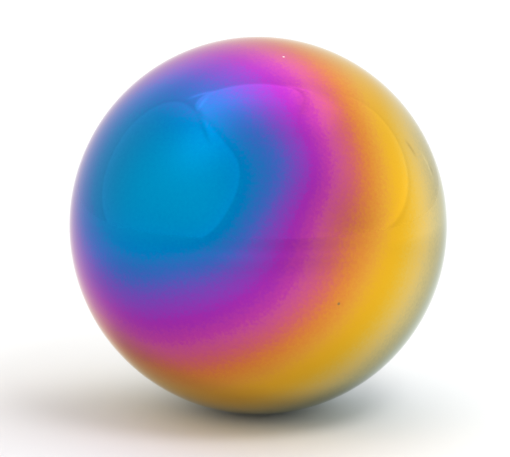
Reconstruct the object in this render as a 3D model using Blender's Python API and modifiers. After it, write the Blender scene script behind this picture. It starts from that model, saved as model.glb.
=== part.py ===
"""A hollow steel juggling ball: two pressed half shells, nested on a stepped lip and welded at the seam.

The origin is the ball's centre and +Z is the axis of its seam. Lengths are in metres.
"""

from math import atan2, cos, hypot, pi, sin, sqrt, tan

import bpy
from mathutils import Vector

# Driving dimensions
BALL_DIAMETER = 0.075
WALL = 0.0010  # sheet that both halves are pressed from
WELD_WIDTH = 0.0024  # weld bead, measured across the seam at the outer surface
WELD_ROOT = 0.0008  # weld bead, measured across the seam at the bottom of its groove
LIP_RISE = 0.0030  # how far the lip reaches above the seam, inside the upper half
BEND_RADIUS = 0.0006  # inside radius of the two bends that step the lip inwards

# Clearances
FIT_GAP = 0.0003  # space left between pieces that meet

# Fineness of the turned shapes
TURN_STEPS = 64
QUARTER_STEPS = 16
LIP_STEPS = 3
BEND_STEPS = 3

# Sizes that follow
BALL_RADIUS = BALL_DIAMETER / 2
INNER_RADIUS = BALL_RADIUS - WALL
LIP_RADIUS = INNER_RADIUS - FIT_GAP
LIP_INNER_RADIUS = LIP_RADIUS - WALL
GROOVE_SLOPE = (WELD_WIDTH - WELD_ROOT) / 2 / WALL  # rise of the groove's side for each unit outwards


def clear_scene():
    for obj in list(bpy.data.objects):
        bpy.data.objects.remove(obj)


def steel_with_film(name, colour):
    """Polished steel under an interference film, which tints everything that it reflects."""
    material = bpy.data.materials.new(name)
    material.use_nodes = True
    shader = material.node_tree.nodes["Principled BSDF"]
    shader.inputs["Base Color"].default_value = (*colour, 1)
    shader.inputs["Metallic"].default_value = 1.0
    shader.inputs["Roughness"].default_value = 0.08
    material.diffuse_color = (*colour, 1)
    return material


def at_height(radius, height):
    """The point of a sphere's outline at this height, as (distance from the axis, height)."""
    return Vector((sqrt(radius**2 - height**2), height))


def arc(radius, start, end, steps):
    """Points of a sphere's outline between two heights, evenly spaced by angle, both ends included."""
    first = atan2(start, at_height(radius, start).x)
    last = atan2(end, at_height(radius, end).x)
    angles = [first + (last - first) * step / steps for step in range(steps + 1)]
    return [Vector((radius * cos(angle), radius * sin(angle))) for angle in angles]


def bend(before, corner, after, radius):
    """An arc that takes the place of a corner and runs tangent to the two sides that meet there."""
    back = (before - corner).normalized()
    onward = (after - corner).normalized()
    half = back.angle(onward) / 2
    centre = corner + (back + onward).normalized() * radius / sin(half)
    first = corner + back * radius / tan(half) - centre
    last = corner + onward * radius / tan(half) - centre
    return [centre + radius * first.slerp(last, step / BEND_STEPS) for step in range(BEND_STEPS + 1)]


def bead_side(distance):
    """Height of the weld bead's sloping side at this distance from the axis."""
    return WELD_ROOT / 2 + GROOVE_SLOPE * (distance - INNER_RADIUS)


def groove_side(distance):
    """Height of the rim that faces the bead, one clearance away from its side."""
    return bead_side(distance) + FIT_GAP * hypot(1, GROOVE_SLOPE)


def turned(name, outline, closed, material):
    """A round piece: an outline in the XZ plane, turned about Z by a Screw modifier."""
    count = len(outline)
    edges = [(index, index + 1) for index in range(count - 1)]
    if closed:
        edges.append((count - 1, 0))
    mesh = bpy.data.meshes.new(name)
    mesh.from_pydata([(point.x, 0, point.y) for point in outline], edges, [])
    mesh.materials.append(material)
    piece = bpy.data.objects.new(name, mesh)
    screw = piece.modifiers.new("Turn", "SCREW")
    screw.axis = "Z"
    screw.steps = TURN_STEPS
    screw.render_steps = TURN_STEPS
    screw.use_merge_vertices = True
    screw.merge_threshold = 0.00001
    screw.use_smooth_shade = True
    return piece


def upper_half_shell():
    """A pressed hemisphere with its rim bevelled to face the weld."""
    outer_rim = groove_side(BALL_RADIUS)
    inner_rim = groove_side(INNER_RADIUS)
    outline = arc(BALL_RADIUS, BALL_RADIUS, outer_rim, QUARTER_STEPS)
    outline += arc(INNER_RADIUS, inner_rim, INNER_RADIUS, QUARTER_STEPS)
    blue = steel_with_film("blue film on steel", (0.0, 0.24, 0.52))
    return turned("upper_half_shell", outline, False, blue)


def lower_half_shell():
    """A pressed hemisphere whose rim steps inwards into a lip, as thick as the rest of the sheet.

    The step's outer face is the lower side of the weld groove, and its inner face runs parallel to it.
    """
    step_foot = at_height(BALL_RADIUS, -groove_side(BALL_RADIUS))
    step_top = at_height(LIP_RADIUS, -groove_side(LIP_RADIUS))
    slope = atan2(step_foot.x - step_top.x, step_top.y - step_foot.y)
    sheet_shift = WALL * tan(slope / 2)
    inner_foot = at_height(INNER_RADIUS, step_foot.y - sheet_shift)
    inner_top = at_height(LIP_INNER_RADIUS, step_top.y - sheet_shift)

    wall_inside = arc(INNER_RADIUS, -INNER_RADIUS, inner_foot.y, QUARTER_STEPS)
    lip_inside = arc(LIP_INNER_RADIUS, inner_top.y, LIP_RISE, LIP_STEPS)
    lip_outside = arc(LIP_RADIUS, LIP_RISE, step_top.y, LIP_STEPS)
    wall_outside = arc(BALL_RADIUS, step_foot.y, -BALL_RADIUS, QUARTER_STEPS)

    outline = wall_inside[:-1]
    outline += bend(wall_inside[-2], inner_foot, inner_top, BEND_RADIUS)
    outline += bend(inner_foot, inner_top, lip_inside[1], BEND_RADIUS + WALL)
    outline += lip_inside[1:] + lip_outside[:-1]
    outline += bend(lip_outside[-2], step_top, step_foot, BEND_RADIUS)
    outline += wall_outside
    magenta = steel_with_film("magenta film on steel", (0.42, 0.03, 0.38))
    return turned("lower_half_shell", outline, False, magenta)


def weld_bead():
    """The ring of weld metal that fills the groove, flush with the ball outside."""
    top = at_height(BALL_RADIUS, bead_side(BALL_RADIUS)).y
    root = bead_side(INNER_RADIUS)
    outline = arc(BALL_RADIUS, top, -top, LIP_STEPS)
    outline += arc(INNER_RADIUS, -root, root, 1)
    violet = steel_with_film("violet film on weld", (0.14, 0.06, 0.50))
    return turned("weld_bead", outline, True, violet)


def main():
    clear_scene()
    ball = bpy.data.collections.new("juggling_ball")
    bpy.context.scene.collection.children.link(ball)
    centre = bpy.data.objects.new("ball_centre", None)
    ball.objects.link(centre)
    for make in (upper_half_shell, lower_half_shell, weld_bead):
        piece = make()
        ball.objects.link(piece)
        piece.parent = centre


main()
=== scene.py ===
# %% [markdown]
# # A mirror-polished juggling ball under a rainbow film
#
# This lesson dresses a hollow steel juggling ball: two pressed half shells, welded at a seam that is
# ground flush, polished to a mirror and then coated in a vacuum chamber. The working model gives every
# size. Here the shells get a finer skin, and the coat gets the colours that it has on the real ball.

from math import cos, hypot, pi, radians, sin, sqrt

import bmesh
import bpy
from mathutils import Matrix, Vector


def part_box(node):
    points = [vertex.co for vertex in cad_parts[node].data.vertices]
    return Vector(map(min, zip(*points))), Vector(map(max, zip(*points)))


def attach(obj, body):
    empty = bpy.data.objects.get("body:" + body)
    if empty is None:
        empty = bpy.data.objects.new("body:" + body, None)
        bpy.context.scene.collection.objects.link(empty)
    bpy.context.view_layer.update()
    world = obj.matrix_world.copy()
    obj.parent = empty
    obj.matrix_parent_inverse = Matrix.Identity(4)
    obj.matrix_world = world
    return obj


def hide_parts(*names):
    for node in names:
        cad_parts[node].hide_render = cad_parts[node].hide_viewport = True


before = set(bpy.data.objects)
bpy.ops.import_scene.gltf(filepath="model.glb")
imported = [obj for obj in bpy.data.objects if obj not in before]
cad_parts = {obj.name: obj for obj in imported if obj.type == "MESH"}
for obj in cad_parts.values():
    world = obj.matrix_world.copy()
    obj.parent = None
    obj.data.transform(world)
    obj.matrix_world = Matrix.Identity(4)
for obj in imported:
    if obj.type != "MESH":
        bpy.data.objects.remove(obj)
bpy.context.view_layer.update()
print("pieces in the frame:", sorted(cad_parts))

# %% [markdown]
# ## Sizes
#
# Nothing is typed in twice. The ball's radius, the height of the seam's rims and the height of the lip
# are read off the working model, so that this script still fits if the ball is made in another size.
# The sheet's thickness is the ball's radius less the distance from the centre to the upper half's nearest
# point. The floor lies at the lower half's lowest point.

# %% Read the sizes off the working model
_, upper_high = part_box("upper_half_shell")
lower_low, lower_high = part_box("lower_half_shell")
_, weld_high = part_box("weld_bead")

BALL_RADIUS = upper_high.z
reaches = [corner.co.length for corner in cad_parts["upper_half_shell"].data.vertices]
WALL = BALL_RADIUS - min(reaches)
INNER_RADIUS = BALL_RADIUS - WALL
WELD_TOP = weld_high.z
LIP_RISE = lower_high.z
FLOOR_LEVEL = lower_low.z
print(f"ball {2000 * BALL_RADIUS:.1f} mm across, sheet {1000 * WALL:.2f} mm thick")
print(f"weld {2000 * WELD_TOP:.2f} mm wide, lip {1000 * LIP_RISE:.2f} mm above the seam")

# %% [markdown]
# ## Turning a piece
#
# A pressed half shell is round about one axis, so half of its section is all that has to be drawn. The
# outline below is turned about Z, ring by ring. Blender's Screw or Spin would do the same, but building
# the rings in code also gives each face its place on the bake map and each corner an exact normal.
#
# The normals matter more here than on most objects. A mirror shows the direction of its surface, and
# not its distance, so a normal that is off by a quarter of a degree at a piece's edge would draw the
# seam as a line. Every corner on the outer skin therefore points straight away from the ball's centre.

# %% Points of an outline, and the ring that each one makes
TURN_STEPS = 256
SNUG = 1e-7  # two lengths this close are the same


def on_sphere(radius, height):
    """The point of a sphere's outline at this height, as (distance from the axis, height)."""
    return Vector((sqrt(max(radius**2 - height**2, 0)), height))


def arc(radius, start, end, steps):
    """Points of a sphere's outline from one height to another, evenly spaced by angle."""
    first, last = (on_sphere(radius, height) for height in (start, end))
    sweep = first.angle_signed(last)
    turns = (sweep * step / steps for step in range(steps + 1))
    return [
        Vector((first.x * cos(turn) + first.y * sin(turn), first.y * cos(turn) - first.x * sin(turn)))
        for turn in turns
    ]


def ring_of(form, point):
    """One ring of corners about the axis, or a single corner where the outline meets the axis."""
    if point.x < SNUG:
        return [form.verts.new((0, 0, point.y))] * TURN_STEPS
    turns = (2 * pi * step / TURN_STEPS for step in range(TURN_STEPS))
    return [form.verts.new((point.x * cos(t), point.x * sin(t), point.y)) for t in turns]


def lengths_along(outline):
    """How far along the outline each of its points lies."""
    total, so_far = 0.0, [0.0]
    for before, after in zip(outline, outline[1:]):
        total += (after - before).length
        so_far.append(total)
    return so_far


print(f"each piece is turned in {TURN_STEPS} steps")

# %% Turn an outline into a closed piece and lay it out flat for baking
MAP_NAME = "OFBake"


def disc_place(centre, reach, turn):
    """A place on the bake map, given as a direction and a distance from the middle of a disc."""
    return Vector((centre[0] + reach * cos(turn), centre[1] + reach * sin(turn)))


def turned(name, outline, map_place):
    """A closed, smooth piece: the outline is turned about Z, and map_place says where each strip goes."""
    form = bmesh.new()
    rings = [ring_of(form, point) for point in outline]
    places = form.loops.layers.uv.new(MAP_NAME)
    for strip, (near, far) in enumerate(zip(rings, rings[1:])):
        for step in range(TURN_STEPS):
            after = (step + 1) % TURN_STEPS
            quad = [(near, step), (far, step), (far, after), (near, after)]
            corners = list(dict.fromkeys(ring[index] for ring, index in quad))
            face = form.faces.new(corners)
            face.smooth = True
            for loop in face.loops:
                is_far = loop.vert in (far[step], far[after])
                on_after = loop.vert in (near[after], far[after]) and loop.vert is not near[step]
                turn = 2 * pi * (step + on_after) / TURN_STEPS
                loop[places].uv = map_place(strip, is_far, turn)
    bmesh.ops.remove_doubles(form, verts=form.verts, dist=SNUG)
    bmesh.ops.recalc_face_normals(form, faces=form.faces)
    mesh = bpy.data.meshes.new(name)
    form.to_mesh(mesh)
    form.free()
    point_skin_outwards(mesh)
    piece = bpy.data.objects.new(name, mesh)
    bpy.context.scene.collection.objects.link(piece)
    print(f"{name}: {len(mesh.polygons)} faces")
    return piece


print("bake map:", MAP_NAME)

# %% Give the outer skin exact normals
SHARP_BEND = radians(30)
SKIN_SLACK = 10 * SNUG  # how far from the ball's radius a corner of its skin may lie


def point_skin_outwards(mesh):
    """Corners on the ball's outer skin point straight away from its centre. The rest stay as they are."""
    mesh.set_sharp_from_angle(angle=SHARP_BEND)
    normals = [corner.vector.copy() for corner in mesh.corner_normals]
    for face in mesh.polygons:
        ends = [mesh.vertices[index].co for index in face.vertices]
        if all(abs(end.length - BALL_RADIUS) < SKIN_SLACK for end in ends):
            for loop, end in zip(face.loop_indices, ends):
                normals[loop] = end.normalized()
    mesh.normals_split_custom_set(normals)


print(f"skin corners lie within {1000 * SKIN_SLACK} mm of the ball's radius")

# %% [markdown]
# ## The two half shells and the weld
#
# The upper half is a plain pressing with a bevelled rim. The lower half's rim steps inwards into a lip
# that slides up inside the upper half: it lines the two up and backs the weld. The weld metal then
# fills the groove between them right up to the surface, and grinding leaves it flush. On the working
# model the three pieces stand a little apart so that each stays a solid of its own. Here they meet, as
# fused metal does, and their skins share the same two circles to the last digit.

# %% Upper half shell
SKIN_STEPS = 64
LIP_STEPS = 4
GROOVE_BOTTOM_SHARE = 1 / 3  # the groove's width at its bottom, as a share of its width at the skin
MAP_MARGIN = 0.01
OUTER_DISC = 0.37  # radius of the outer skin on the bake map
INNER_DISC = 0.11  # radius of everything else

WELD_ROOT = WELD_TOP * GROOVE_BOTTOM_SHARE


def half_shell_map(outline, skin_strips):
    """Places for a half shell: its outer skin on a large disc, and its rim and inside on a small one."""
    along = lengths_along(outline)
    skin_end = along[skin_strips]
    outer = MAP_MARGIN + OUTER_DISC
    inner = 1 - MAP_MARGIN - INNER_DISC

    def place(strip, is_far, turn):
        reach = along[strip + is_far]
        if strip < skin_strips:
            return disc_place((outer, outer), OUTER_DISC * reach / skin_end, turn)
        left = (along[-1] - reach) / (along[-1] - skin_end)
        return disc_place((inner, inner), INNER_DISC * left, turn)

    return place


def upper_half_shell():
    outline = arc(BALL_RADIUS, BALL_RADIUS, WELD_TOP, SKIN_STEPS)
    outline += arc(INNER_RADIUS, WELD_ROOT, INNER_RADIUS, SKIN_STEPS // 2)
    return turned("upper_half", outline, half_shell_map(outline, SKIN_STEPS))


upper_half = upper_half_shell()

# %% Lower half shell, with its stepped lip
LIP_SLACK = 0.00005  # a light push fit between the lip and the upper half
LIP_RADIUS = INNER_RADIUS - LIP_SLACK


def lower_half_shell():
    """The rim steps inwards at the weld's root, and the sheet keeps its thickness round the step."""
    step_drop = WALL * (BALL_RADIUS - INNER_RADIUS) / hypot(BALL_RADIUS - INNER_RADIUS, WELD_TOP)
    outline = arc(BALL_RADIUS, -BALL_RADIUS, -WELD_TOP, SKIN_STEPS)
    outline += arc(LIP_RADIUS, -WELD_ROOT, LIP_RISE, LIP_STEPS)
    outline += arc(LIP_RADIUS - WALL, LIP_RISE, -WELD_ROOT - step_drop, LIP_STEPS)
    outline += arc(INNER_RADIUS, -WELD_TOP - step_drop, -INNER_RADIUS, SKIN_STEPS // 2)
    return turned("lower_half", outline, half_shell_map(outline, SKIN_STEPS))


lower_half = lower_half_shell()

# %% Weld bead
RING_INNER = 0.40  # the bead is laid out as a flat ring on its bake map
RING_OUTER = 0.49


def weld_bead():
    outline = arc(BALL_RADIUS, WELD_TOP, -WELD_TOP, LIP_STEPS)
    outline += arc(INNER_RADIUS, -WELD_ROOT, WELD_ROOT, 2)
    outline.append(outline[0])
    along = lengths_along(outline)

    def place(strip, is_far, turn):
        share = along[strip + is_far] / along[-1]
        return disc_place((0.5, 0.5), RING_OUTER - (RING_OUTER - RING_INNER) * share, turn)

    return turned("seam_weld", outline, place)


seam_weld = weld_bead()

# %% [markdown]
# ## Writing a finish as sums
#
# A finish is a small calculation made at each point of a surface. Wiring it by hand takes dozens of
# boxes, so this class lets it be written as a sum instead: `a * b + 1` adds a Multiply and an Add node.
# Anything that isn't plain arithmetic on numbers comes from one method, `node`.

# %% A wire that can be used in sums
class Wire:
    """One output of a shader node. Arithmetic on it adds Math nodes to the same node tree."""

    def __init__(self, socket):
        self.socket = socket

    def node(self, kind, settings=None, values=None, output=0):
        """Adds a node of any kind: its settings first, then a value or a wire for each input named."""
        tree = self.socket.id_data
        made = tree.nodes.new(kind)
        for name, setting in (settings or {}).items():
            if name == "stops":
                lay_stops(made.color_ramp, setting)
            else:
                setattr(made, name, setting)
        for name, value in (values or {}).items():
            if isinstance(value, Wire):
                tree.links.new(value.socket, made.inputs[name])
            else:
                made.inputs[name].default_value = value
        return Wire(made.outputs[output]) if made.outputs else None

    def math(self, operation, *terms):
        return self.node("ShaderNodeMath", {"operation": operation}, dict(enumerate(terms)))

    def vector_math(self, operation, *terms, output=0):
        settings = {"operation": operation}
        return self.node("ShaderNodeVectorMath", settings, dict(enumerate(terms)), output)

    def __add__(self, other):
        return self.math("ADD", self, other)

    __radd__ = __add__

    def __sub__(self, other):
        return self.math("SUBTRACT", self, other)

    def __rsub__(self, other):
        return self.math("SUBTRACT", other, self)

    def __neg__(self):
        return self.math("MULTIPLY", self, -1.0)

    def __mul__(self, other):
        return self.math("MULTIPLY", self, other)

    __rmul__ = __mul__

    def __truediv__(self, other):
        return self.math("DIVIDE", self, other)

    def __pow__(self, power):
        return self.math("POWER", self, power)

    def dot(self, direction):
        """How far this vector reaches along a direction."""
        return self.vector_math("DOT_PRODUCT", self, tuple(direction), output="Value")

    def length(self):
        return self.vector_math("LENGTH", self, output="Value")

    def distance_to(self, place):
        return self.vector_math("DISTANCE", self, tuple(place), output="Value")

    def bump_at(self, middle, width):
        """A soft bump in space: 1 at its middle and about a third at one width from there."""
        away = self.distance_to(middle) / width
        return away.math("EXPONENT", -away * away)

    def at_least(self, limit):
        return self.math("MAXIMUM", self, limit)

    def at_most(self, limit):
        return self.math("MINIMUM", self, limit)

    def stops_as_light(self):
        """A number of stops as a share of light: each stop more is twice as bright."""
        return self.math("POWER", 2.0, self)

    def fade(self, start, end, low=0.0, high=1.0):
        """Runs smoothly from low to high while this value goes from start to end."""
        return self.node(
            "ShaderNodeMapRange",
            {"interpolation_type": "SMOOTHSTEP"},
            {"Value": self, "From Min": start, "From Max": end, "To Min": low, "To Max": high},
        )

    def between(self, starts, full, leaves, gone):
        """1 from full to leaves, and fading to nothing at starts on one side and gone on the other."""
        return self.fade(starts, full) * self.fade(gone, leaves)

    def noise(self, scale, detail):
        """Smooth random variation over space, about scale patches to the metre."""
        values = {"Vector": self, "Scale": scale, "Detail": detail}
        return self.node("ShaderNodeTexNoise", {"noise_dimensions": "3D"}, values, "Fac")

    def mixed(self, other, share):
        """This colour where share is 0 and the other where it is 1."""
        mix = self.node("ShaderNodeMix", {"data_type": "RGBA"}).socket.node
        first, second = [end for end in mix.inputs if end.name in ("A", "B") and end.type == "RGBA"]
        for value, end in ((share, mix.inputs[0]), (self, first), (other, second)):
            if isinstance(value, Wire):
                self.socket.id_data.links.new(value.socket, end)
            else:
                end.default_value = value
        return Wire(next(end for end in mix.outputs if end.type == "RGBA"))


print("sums, fades, distances and noise can now be written as Python")

# %% Colour ramps, and the start and the end of a material
RAMP_CURVE = "CARDINAL"  # runs through every stop without a kink


def lay_stops(ramp, stops):
    """Sets a colour ramp's stops, each a place from 0 to 1 and a colour."""
    ramp.interpolation = RAMP_CURVE
    while len(ramp.elements) > 1:
        ramp.elements.remove(ramp.elements[-1])
    for index, (place, colour) in enumerate(stops):
        stop = ramp.elements[0] if index == 0 else ramp.elements.new(place)
        stop.position = place
        stop.color = (*colour, 1)


def new_material(name):
    """An empty material and the wire that carries the piece's own coordinates, in metres."""
    material = bpy.data.materials.new(name)
    material.use_nodes = True
    material.node_tree.nodes.clear()
    source = material.node_tree.nodes.new("ShaderNodeTexCoord")
    return material, Wire(source.outputs["Object"])


def finish_surface(material, values):
    """Ends a material with one Principled shader. Each value is a number, a colour or a wire."""
    source = Wire(material.node_tree.nodes[0].outputs[0])
    surface = source.node("ShaderNodeBsdfPrincipled", {}, values)
    source.node("ShaderNodeOutputMaterial", {}, {"Surface": surface})


print("colour ramps run along a curve of the kind", RAMP_CURVE)

# %% [markdown]
# ## The rainbow film
#
# The colour isn't paint. It is a clear film, thinner than a wavelength of light, and the light from its
# top and its bottom cancels for some colours. Each thickness keeps one colour: a thick film is cyan,
# and as it thins it turns blue, violet, magenta, orange and gold, and at last the pale grey of steel.
#
# In the chamber the ball hangs beside the source, so the film is thickest where it faced the source and
# thins all round from there. The colour can therefore be made from one number, the distance from that
# side, and a ramp of colours. The film tints whatever the steel reflects, so the colour goes to the
# Base Color of a full metal, which is also the tint of its mirror image. An image texture could hold the
# colours too, but a ramp stays sharp at any distance and can be changed one colour at a time.

# %% Colours of the film, from its thickest part to its thinnest
def linear(red, green, blue):
    """A colour given in steps of 0 to 255, as the light values that a shader works with."""
    shares = (channel / 255 for channel in (red, green, blue))
    return tuple(s / 12.92 if s <= 0.04045 else ((s + 0.055) / 1.055) ** 2.4 for s in shares)


FILM_NEAR, FILM_FAR = 0.20, 1.60  # distances that the ramp's two ends stand for
FILM_COLOURS = [  # distance from the film's thickest side, and the colour there
    (0.25, linear(0, 140, 190)),  # clear blue
    (0.40, linear(10, 115, 180)),  # deep blue
    (0.50, linear(85, 85, 180)),  # indigo
    (0.60, linear(145, 50, 170)),  # violet
    (0.65, linear(165, 50, 160)),  # magenta
    (0.70, linear(185, 70, 145)),  # pink
    (0.80, linear(205, 110, 80)),  # coral
    (0.90, linear(215, 155, 50)),  # orange
    (1.00, linear(215, 170, 45)),  # gold
    (1.10, linear(200, 175, 100)),  # straw
    (1.20, linear(145, 145, 105)),  # olive grey
    (1.30, linear(140, 160, 145)),  # grey green
    (1.50, linear(170, 190, 210)),  # ice blue
]

print(f"the film runs through {len(FILM_COLOURS)} colours")

# %% [markdown]
# ## What makes the film look real
#
# A film that follows one smooth formula looks computer made. On the real ball it came out thicker or
# thinner in a few broad places, it drifts slowly, and it follows the fine grain that polishing leaves.
# All three are small changes to the same distance, so they move the colours' borders and never add a
# colour that a film can't have. A few specks show where dust kept the film off or a pit holds dirt.
#
# Bare metal turns white at a glancing angle. Under a film it keeps a slight tint there, which the
# shader's Specular Tint gives. Inside, where no film reached, the steel is bare and dull.

# %% Where the film is uneven, and its specks
SOURCE_SIDE = Vector((-0.66, -1.285, 0.44))  # where the film is thickest, in ball radii from the centre
SPREAD = Vector((0.66, 0.474, 0.685))  # how fast the film thins along each axis
FILM_UNEVENNESS = [  # where the film came out thinner (+) or thicker (-), how wide, and by how much
    ((-0.2, -0.9, 0.2), 0.2, -0.05),
    ((0.1, -0.9, 0.4), 0.2, -0.05),
    ((-0.4, -0.7, 0.6), 0.2, 0.04),
    ((0.3, -0.9, 0.1), 0.2, 0.04),
    ((-0.3, -0.9, -0.2), 0.3, 0.03),
    ((0.7, -0.4, 0.5), 0.3, 0.06),
]
CLOUDS_PER_METRE = 45.0  # slow drift of the film's thickness, as the ball turned in the chamber
CLOUD_DETAIL = 1.0
CLOUD_CHANGE = 0.03
GRAINS_PER_METRE = 1800.0  # polishing grain, about half a millimetre across, that the film follows
GRAIN_DETAIL = 2.0
GRAIN_CHANGE = 0.065
NOISE_MIDDLE = 0.5
PINHOLE_CORE = 0.6  # share of a speck's radius inside which it has its full colour
PINHOLES = [  # where the film has a speck, its radius in ball radii, and its colour
    ((0.380, -0.890, -0.251), 0.009, (0.30, 0.17, 0.06)),
    ((0.125, -0.412, 0.902), 0.007, (0.80, 0.70, 0.72)),
    ((-0.42, 0.81, 0.40), 0.008, (0.20, 0.20, 0.22)),
    ((0.70, 0.58, -0.41), 0.007, (0.75, 0.75, 0.75)),
    ((-0.88, 0.05, -0.47), 0.006, (0.18, 0.16, 0.20)),
]

print(f"{len(FILM_UNEVENNESS)} uneven places and {len(PINHOLES)} specks")

# %% From a place on the skin to the film's colour
def film_distance(place):
    """How far a point of the skin is from the film's thickest part, which sets the film's colour."""
    offset = place.vector_math("SUBTRACT", place, tuple(BALL_RADIUS * SOURCE_SIDE))
    scaled = offset.vector_math("MULTIPLY", offset, tuple(SPREAD / BALL_RADIUS))
    distance = scaled.length()
    for middle, width, change in FILM_UNEVENNESS:
        distance = distance + change * place.bump_at(BALL_RADIUS * Vector(middle), BALL_RADIUS * width)
    clouds = CLOUD_CHANGE * (place.noise(CLOUDS_PER_METRE, CLOUD_DETAIL) - NOISE_MIDDLE)
    grain = GRAIN_CHANGE * (place.noise(GRAINS_PER_METRE, GRAIN_DETAIL) - NOISE_MIDDLE)
    return distance + clouds + grain


def film_share(distance):
    """A distance from the film's thickest side as a place on the ramp, from 0 to 1."""
    return (distance - FILM_NEAR) / (FILM_FAR - FILM_NEAR)


def film_colour(distance):
    stops = [(film_share(reach), colour) for reach, colour in FILM_COLOURS]
    return distance.node("ShaderNodeValToRGB", {"stops": stops}, {"Fac": film_share(distance)})


def with_pinholes(place, colour):
    """Adds the specks, each about half a millimetre across."""
    for middle, reach, speck in PINHOLES:
        away = place.distance_to(BALL_RADIUS * Vector(middle)) / (BALL_RADIUS * reach)
        colour = colour.mixed((*speck, 1), away.fade(1.0, PINHOLE_CORE))
    return colour


first_share, last_share = film_share(FILM_COLOURS[0][0]), film_share(FILM_COLOURS[-1][0])
print(f"the colours take up the ramp from {first_share:.2f} to {last_share:.2f}")

# %% Rainbow film on polished steel
SKIN_ROUGHNESS = 0.075
BARE_STEEL = (0.42, 0.40, 0.38, 1)
BARE_ROUGHNESS = 0.4
GRAZING_TINT = (0.92, 0.93, 0.88, 1)
COAT_ENDS = BALL_RADIUS - 0.4 * WALL  # nearer to the centre than this, the steel is bare
COAT_FULL = BALL_RADIUS - 0.2 * WALL  # further out than this, the film covers it


def rainbow_steel(name):
    material, place = new_material(name)
    colour = with_pinholes(place, film_colour(film_distance(place)))
    coated = place.length().fade(COAT_ENDS, COAT_FULL)
    finish_surface(
        material,
        {
            "Base Color": colour.mixed(BARE_STEEL, 1 - coated),
            "Metallic": 1.0,
            "Roughness": BARE_ROUGHNESS - (BARE_ROUGHNESS - SKIN_ROUGHNESS) * coated,
            "Specular Tint": GRAZING_TINT,
        },
    )
    print(f"{name}: {len(material.node_tree.nodes)} nodes")
    return material


shell_finish = rainbow_steel("rainbow film on pressed steel")
weld_finish = rainbow_steel("rainbow film on ground weld")

# %% [markdown]
# ## Tying the pieces to the working model
#
# Each piece takes the place of one part of the working model, which is hidden, and is tied to the body
# that it moves with. The ball is rigid, so all three ride on the same body.

# %% Dress the pieces and tie them to the frame
for piece, node, finish, slot in (
    (upper_half, "upper_half_shell", shell_finish, "rainbow_film_on_steel"),
    (lower_half, "lower_half_shell", shell_finish, "rainbow_film_on_steel"),
    (seam_weld, "weld_bead", weld_finish, "rainbow_film_on_weld"),
):
    piece.data.materials.append(finish)
    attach(piece, "root")
    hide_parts(node)
    print(f"{piece.name} stands for {node}")

# %% [markdown]
# ## Floor
#
# A mirror shows its room, so the floor is part of the ball's look. A matt, nearly white board lies at
# the ball's lowest point, and the shade that the ball throws on it is what darkens the bottom rim.
#
# No table is lit evenly. Its uneven light could come from more lamps, but each of them would also reach
# the ball. Instead it is painted into the board's own white, as painted light and painted shade with a
# painted shadow close beside the ball, and touches nothing else. It is given in stops, as a photographer
# counts light: one stop less is half as bright.

# %% Matt white floor, with painted light and shade
FLOOR_REACH = 20.0
FLOOR_WHITE = 0.80
FLOOR_ROUGHNESS = 0.9
# Painted shade on the board's white: a painted shadow close beside the ball and broader painted shade
# around it
FLOOR_PAINTED_SHADES = [  # a place in ball radii from where the ball rests, how wide a shade, and its stops
    ((-2.5, -0.5, 0), 2.0, -0.2),
    ((-1.0, 0.0, 0), 0.5, -0.3),
    ((2.0, -4.0, 0), 2.0, -0.25),
    ((-1.0, -4.0, 0), 2.0, -0.2),
]
# Painted light and shade far out on the board: brighter far off to the rear right, darker far off to the
# front right
FLOOR_FAR_PAINTED_LIGHT = [  # which way it lies, how narrow it is, where it sets in and is full, and its stops
    ((0.9, 0.5, 0), 2.0, (4.0, 12.0), 0.3),
    ((0.5, -0.9, 0), 8.0, (2.0, 6.0), -0.2),
]


def board_white_and_painted_light(place):
    """The board's white at each point, with painted light and painted shade added to it in stops."""
    reach = place.length() / BALL_RADIUS
    heading = place.vector_math("NORMALIZE", place)
    # the painted light and painted shade are summed in stops, then turned into the board's white
    stops = 0.0
    for towards, narrow, (start, end), change in FLOOR_FAR_PAINTED_LIGHT:
        lined_up = heading.dot(towards).at_least(0.0) ** narrow
        stops = stops + change * lined_up * reach.fade(start, end)
    for middle, width, change in FLOOR_PAINTED_SHADES:
        stops = stops + change * place.bump_at(BALL_RADIUS * Vector(middle), BALL_RADIUS * width)
    return FLOOR_WHITE * stops.stops_as_light()


def floor_board():
    board = bmesh.new()
    bmesh.ops.create_grid(board, x_segments=1, y_segments=1, size=FLOOR_REACH)
    mesh = bpy.data.meshes.new("floor")
    board.to_mesh(mesh)
    board.free()
    floor = bpy.data.objects.new("floor", mesh)
    floor.location.z = FLOOR_LEVEL
    bpy.context.scene.collection.objects.link(floor)
    material, place = new_material("matt white board with painted light and shade")
    # the board's Base Color carries the painted light and painted shade
    finish_surface(material, {"Base Color": board_white_and_painted_light(place), "Roughness": FLOOR_ROUGHNESS})
    mesh.materials.append(material)
    print(f"floor {2 * FLOOR_REACH:.0f} m wide at {1000 * FLOOR_LEVEL:.1f} mm")


floor_board()

# %% [markdown]
# ## A tent of soft light
#
# A mirror ball is photographed inside a white tent: every part of it shows a piece of the room, so the
# room is made almost evenly bright, with a few soft-edged windows of stronger light. Area lamps could
# do it, but then each lamp would show as a hard shape. Painting the world gives full control of how
# soft each edge is. `window` draws one rounded window on a flat wall of the tent, one unit away.
#
# All changes to the tent's light are added up in stops, and the sum is turned into light at the end.

# %% Helpers for the tent's light
TENT_LIGHT = 1.34
UPRIGHT = (0, 0, 1)
WALL_SETS_IN = 0.15  # a wall fades in over rays that meet it less squarely than this


def wall_place(ray, facing, upward):
    """Where a ray meets a flat wall one unit away, as (across, up, how squarely it meets it)."""
    facing = Vector(facing).normalized()
    across = facing.cross(Vector(upward)).normalized()
    ahead = ray.dot(facing)
    return ray.dot(across) / ahead, ray.dot(across.cross(facing)) / ahead, ahead


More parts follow.
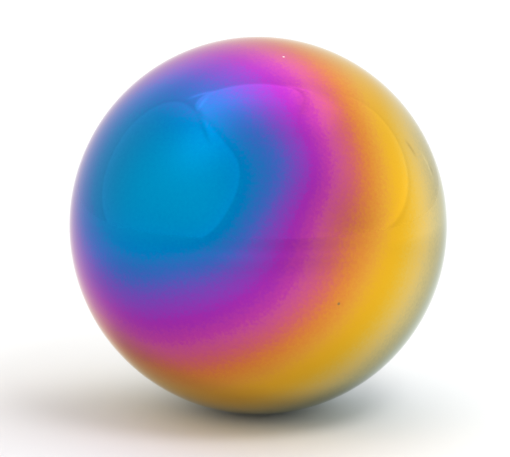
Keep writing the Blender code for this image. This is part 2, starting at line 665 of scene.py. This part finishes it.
def window(place, span_across, span_up, corner, soft):
    """How much of a soft-edged window a ray sees, from 0 to 1, and how far outside its edge it passes."""
    across, up, ahead = place
    outside = []
    for along, (low, high) in ((across, span_across), (up, span_up)):
        from_middle = along.math("ABSOLUTE", along - (low + high) / 2)
        outside.append(from_middle - ((high - low) / 2 - corner))
    past_x, past_y = (along.at_least(0.0) for along in outside)
    past_corner = past_x.math("SQRT", past_x * past_x + past_y * past_y)
    within = outside[0].at_least(outside[1]).at_most(0.0)
    edge = past_corner + within - corner
    return edge.fade(soft, -soft) * ahead.fade(0.0, WALL_SETS_IN), edge


def glow(ray, towards, spread):
    """A broad soft patch of light round one direction, 1 at its middle."""
    off = 1 - ray.dot(Vector(towards).normalized())
    return ray.math("EXPONENT", off * (-1 / spread))


print(f"the tent's plain cloth gives light of strength {TENT_LIGHT}")

# %% [markdown]
# ### Creases
#
# Cloth that hangs in a frame creases, and a mirror shows each crease as a thin line. A few straight ones
# at the windows' corners, brighter or darker than the cloth beside them, are enough to say "cloth".

# %% Creases of the tent's cloth
CREASE_TAPER = 0.4  # share of a crease's length over which each end fades out
ROOF_CREASES = [  # two ends on the roof, one unit above the ball, how wide, and the stops of light it adds
    ((0.30, 0.16), (0.60, 0.25), 0.014, 0.60),
    ((0.36, 0.16), (0.56, -0.05), 0.014, 0.35),
    ((-0.15, 0.18), (-0.45, 0.21), 0.014, 0.40),
    ((0.50, 0.18), (0.55, -0.65), 0.025, -0.35),
    ((-0.33, 0.20), (-0.38, -0.25), 0.050, -0.14),
]
RIGHT_CREASES = [
    ((-0.78, 0.50), (-0.82, 0.30), 0.030, -0.50),
    ((-1.12, 0.34), (-1.26, 0.06), 0.040, 0.30),
    ((-1.24, 0.16), (-1.44, 0.12), 0.030, -0.30),
]


def crease(place, start, end, width):
    """A straight fold on a wall of the tent, 1 along its middle."""
    across, up, ahead = place
    run, rise = end[0] - start[0], end[1] - start[1]
    along = ((across - start[0]) * run + (up - start[1]) * rise) / (run**2 + rise**2)
    share = along.at_least(0.0).at_most(1.0)
    off_across, off_up = across - start[0] - share * run, up - start[1] - share * rise
    away = (off_across * off_across + off_up * off_up) * (-1 / width**2)
    taper = share.between(0.0, CREASE_TAPER, 1 - CREASE_TAPER, 1.0)
    return away.math("EXPONENT", away) * taper * ahead.fade(0.0, WALL_SETS_IN)


print(f"{len(ROOF_CREASES) + len(RIGHT_CREASES)} creases")

# %% [markdown]
# ### Windows
#
# Three windows show in the ball: a round one at the left, a tall one at the right and a long one in the
# roof. Each is a little brighter at its edge than in its middle, and a thin dim line runs round the two
# upright ones, where the cloth is doubled over their frames. Their sizes are lengths on a wall that
# stands one unit away from the ball.

# %% The tent as a world
WINDOW_SOFTNESS = 0.015

world = bpy.data.worlds.new("light tent")
bpy.context.scene.world = world
world.use_nodes = True
world.node_tree.nodes.clear()
ray = Wire(world.node_tree.nodes.new("ShaderNodeTexCoord").outputs["Generated"])


def rim_glow(edge, glows):
    """Stops that grow towards a window's rim: how far in each glow reaches, and what it adds there."""
    return sum(edge.fade(-reach, 0.0, high=added) for reach, added in glows)


print("the tent is painted on", world.name)

# %% Left window
LEFT_FACING = (-0.82, -0.25, 0.52)
LEFT_ACROSS, LEFT_UP = (-1.265, 0.87), (-0.70, 0.60)
LEFT_CORNER = 0.57
LEFT_GLOWS = [(0.35, 0.10), (0.10, 0.06)]
LEFT_SIDE_START, LEFT_SIDE_FULL, LEFT_SIDE_STOPS = -0.2, -1.2, 0.12  # the window's rear side is brighter

left_wall = wall_place(ray, LEFT_FACING, UPRIGHT)
left_seen, left_edge = window(left_wall, LEFT_ACROSS, LEFT_UP, LEFT_CORNER, WINDOW_SOFTNESS)
left_side = left_wall[0].fade(LEFT_SIDE_START, LEFT_SIDE_FULL, high=LEFT_SIDE_STOPS)
left_stops = left_seen * (rim_glow(left_edge, LEFT_GLOWS) + left_side)
print("left window spans", LEFT_ACROSS, LEFT_UP)

# %% Right window
RIGHT_FACING = (1, 0, 0)
RIGHT_ACROSS, RIGHT_UP = (-0.74, 3.0), (-0.04, 2.4)
RIGHT_CORNER = 1.2
RIGHT_GLOWS = [(1.2, 0.08), (0.12, 0.08)]
RIGHT_SETS_IN, RIGHT_FULL = 0.40, 0.75  # how squarely a ray meets the wall where the window shows

right_wall = wall_place(ray, RIGHT_FACING, UPRIGHT)
right_seen, right_edge = window(right_wall, RIGHT_ACROSS, RIGHT_UP, RIGHT_CORNER, WINDOW_SOFTNESS)
right_part = right_seen * right_wall[2].fade(RIGHT_SETS_IN, RIGHT_FULL)
right_stops = right_part * rim_glow(right_edge, RIGHT_GLOWS)
print("right window spans", RIGHT_ACROSS, RIGHT_UP)

# %% Roof window, and the bright cloth at its left
ROOF_ACROSS, ROOF_UP = (-0.36, 0.53), (-2.5, 0.17)
ROOF_CORNER = 0.14
ROOF_RISE_START, ROOF_RISE_STOPS = -0.6, 0.60  # it brightens towards the rear
ROOF_DIP_START, ROOF_DIP_STOPS = -0.1, 0.18  # and a little less so near its end
ROOF_RIM_REACH, ROOF_RIM_STOPS = 0.04, 0.14  # a bright rim
ROOF_RIM_START, ROOF_RIM_FULL = -0.05, 0.12  # only towards the rear
BESIDE_STOPS = 0.35
BESIDE_ACROSS = (-0.3, -0.4, -0.5, -0.9)
BESIDE_UP = (-0.5, -0.1, 0.1, 0.35)

roof = wall_place(ray, UPRIGHT, (0, 1, 0))
roof_across, roof_up, _ = roof
roof_rear = ROOF_UP[1]
roof_seen, roof_edge = window(roof, ROOF_ACROSS, ROOF_UP, ROOF_CORNER, WINDOW_SOFTNESS)
roof_rise = roof_up.fade(ROOF_RISE_START, roof_rear, high=ROOF_RISE_STOPS)
roof_dip = roof_up.fade(ROOF_DIP_START, roof_rear, high=ROOF_DIP_STOPS)
roof_rim = roof_edge.fade(-ROOF_RIM_REACH, 0.0, high=ROOF_RIM_STOPS)
roof_rim = roof_rim * roof_up.fade(ROOF_RIM_START, ROOF_RIM_FULL)
roof_stops = roof_seen * (roof_rise - roof_dip + roof_rim)
beside_seen = roof_across.between(*BESIDE_ACROSS) * roof_up.between(*BESIDE_UP)
beside_stops = BESIDE_STOPS * (1 - roof_seen) * beside_seen
print("roof window spans", ROOF_ACROSS, ROOF_UP)

# %% Add up the tent's light
OUTLINE_STOPS = -0.10
OUTLINE_ACROSS = (-0.01, 0.02, 0.02, 0.08)  # across the dim line, outwards from the window's rim
OUTLINE_SETS_IN, OUTLINE_FULL = 0.35, 0.70  # how squarely a ray meets the wall where the line shows
SOFT_PATCHES = [  # direction from the ball, how far the patch spreads, and the stops of light it adds
    ((0.1, 0.4, 0.9), 0.10, 0.7),  # roof, behind the ball
    ((-0.5, -0.4, 0.8), 0.05, 0.5),  # roof, front left
    ((0.5, -0.4, 0.8), 0.05, 0.2),  # roof, front right
    ((-0.4, 0.1, 0.9), 0.05, 0.3),  # roof, left
    ((-0.4, 0.7, 0.6), 0.05, 0.3),  # rear wall, left
    ((0.9, 0.3, 0.1), 0.10, 0.3),  # right wall, rear
    ((0.8, -0.6, 0.1), 0.05, -0.3),  # right wall, front
    ((-0.9, 0.3, 0.3), 0.10, -0.2),  # left wall, rear
]

tent_stops = left_stops + right_stops + roof_stops + beside_stops
for wall, edge in ((left_wall, left_edge), (right_wall, right_edge)):
    line = edge.between(*OUTLINE_ACROSS) * wall[2].fade(OUTLINE_SETS_IN, OUTLINE_FULL)
    tent_stops = tent_stops + OUTLINE_STOPS * line
for wall, creases in ((roof, ROOF_CREASES), (right_wall, RIGHT_CREASES)):
    for start, end, width, change in creases:
        tent_stops = tent_stops + change * crease(wall, start, end, width)
for towards, spread, change in SOFT_PATCHES:
    tent_stops = tent_stops + change * glow(ray, towards, spread)

light = TENT_LIGHT * tent_stops.stops_as_light()
background = ray.node("ShaderNodeBackground", {}, {"Strength": light})
ray.node("ShaderNodeOutputWorld", {}, {"Surface": background})
print(f"three windows and {len(SOFT_PATCHES)} soft patches, {len(world.node_tree.nodes)} nodes")

# %% [markdown]
# ## Key lamp
#
# A small, weak lamp close by, above the front right, lifts the floor round the ball and deepens the shade
# on the far left, which the ball's lower rim shows. A brighter tent would lift the whole room instead.
# The lamp is hidden from mirror rays and from the camera, so that it never shows as a disc of its own.

# %% Key lamp
KEY_PLACE = Vector((0.10, -0.16, 0.22))
KEY_SIZE = 0.10
KEY_WATTS = 0.25

key_data = bpy.data.lights.new("key lamp", "AREA")
key_data.shape = "DISK"
key_data.size = KEY_SIZE
key_data.energy = KEY_WATTS
key = bpy.data.objects.new("key lamp", key_data)
key.location = KEY_PLACE
key.rotation_euler = (-KEY_PLACE).to_track_quat("-Z", "Y").to_euler()
key.visible_glossy = False
key.visible_camera = False
bpy.context.scene.collection.objects.link(key)
print(f"key lamp of {KEY_WATTS} W, {KEY_PLACE.length:.2f} m from the ball's centre")

# %% [markdown]
# ## Camera
#
# The ball is seen from a little above its middle through a long lens, which keeps its outline very
# nearly a true circle. The aim lies a fraction of a millimetre beside the ball's centre, so that the ball
# stands a little off the middle of the frame. The Standard view transform leaves each film colour as it
# was chosen, where Blender's usual one would mute it.

# %% Camera
VIEW_DISTANCE = 0.2836
VIEW_RISE = radians(8)
LENS = 100
SENSOR = 36
CLIP_NEAR = 0.01
CLIP_FAR = 100.0
AIM_ASIDE = -0.00064  # how far the aim lies to the right of the ball's centre
AIM_UP = -0.00058  # how far it lies above it

sight = Vector((0, cos(VIEW_RISE), -sin(VIEW_RISE)))
overhead = Vector((0, sin(VIEW_RISE), cos(VIEW_RISE)))
aim = Vector((AIM_ASIDE, 0, 0)) + AIM_UP * overhead
camera_data = bpy.data.cameras.new("camera")
camera_data.lens = LENS
camera_data.sensor_width = SENSOR
camera_data.clip_start = CLIP_NEAR
camera_data.clip_end = CLIP_FAR
camera = bpy.data.objects.new("camera", camera_data)
camera.location = aim - VIEW_DISTANCE * sight
camera.rotation_euler = (pi / 2 - VIEW_RISE, 0, 0)
bpy.context.scene.collection.objects.link(camera)
bpy.context.scene.camera = camera
bpy.context.scene.view_settings.view_transform = "Standard"
print(f"camera {VIEW_DISTANCE:.3f} m away through a {LENS} mm lens")
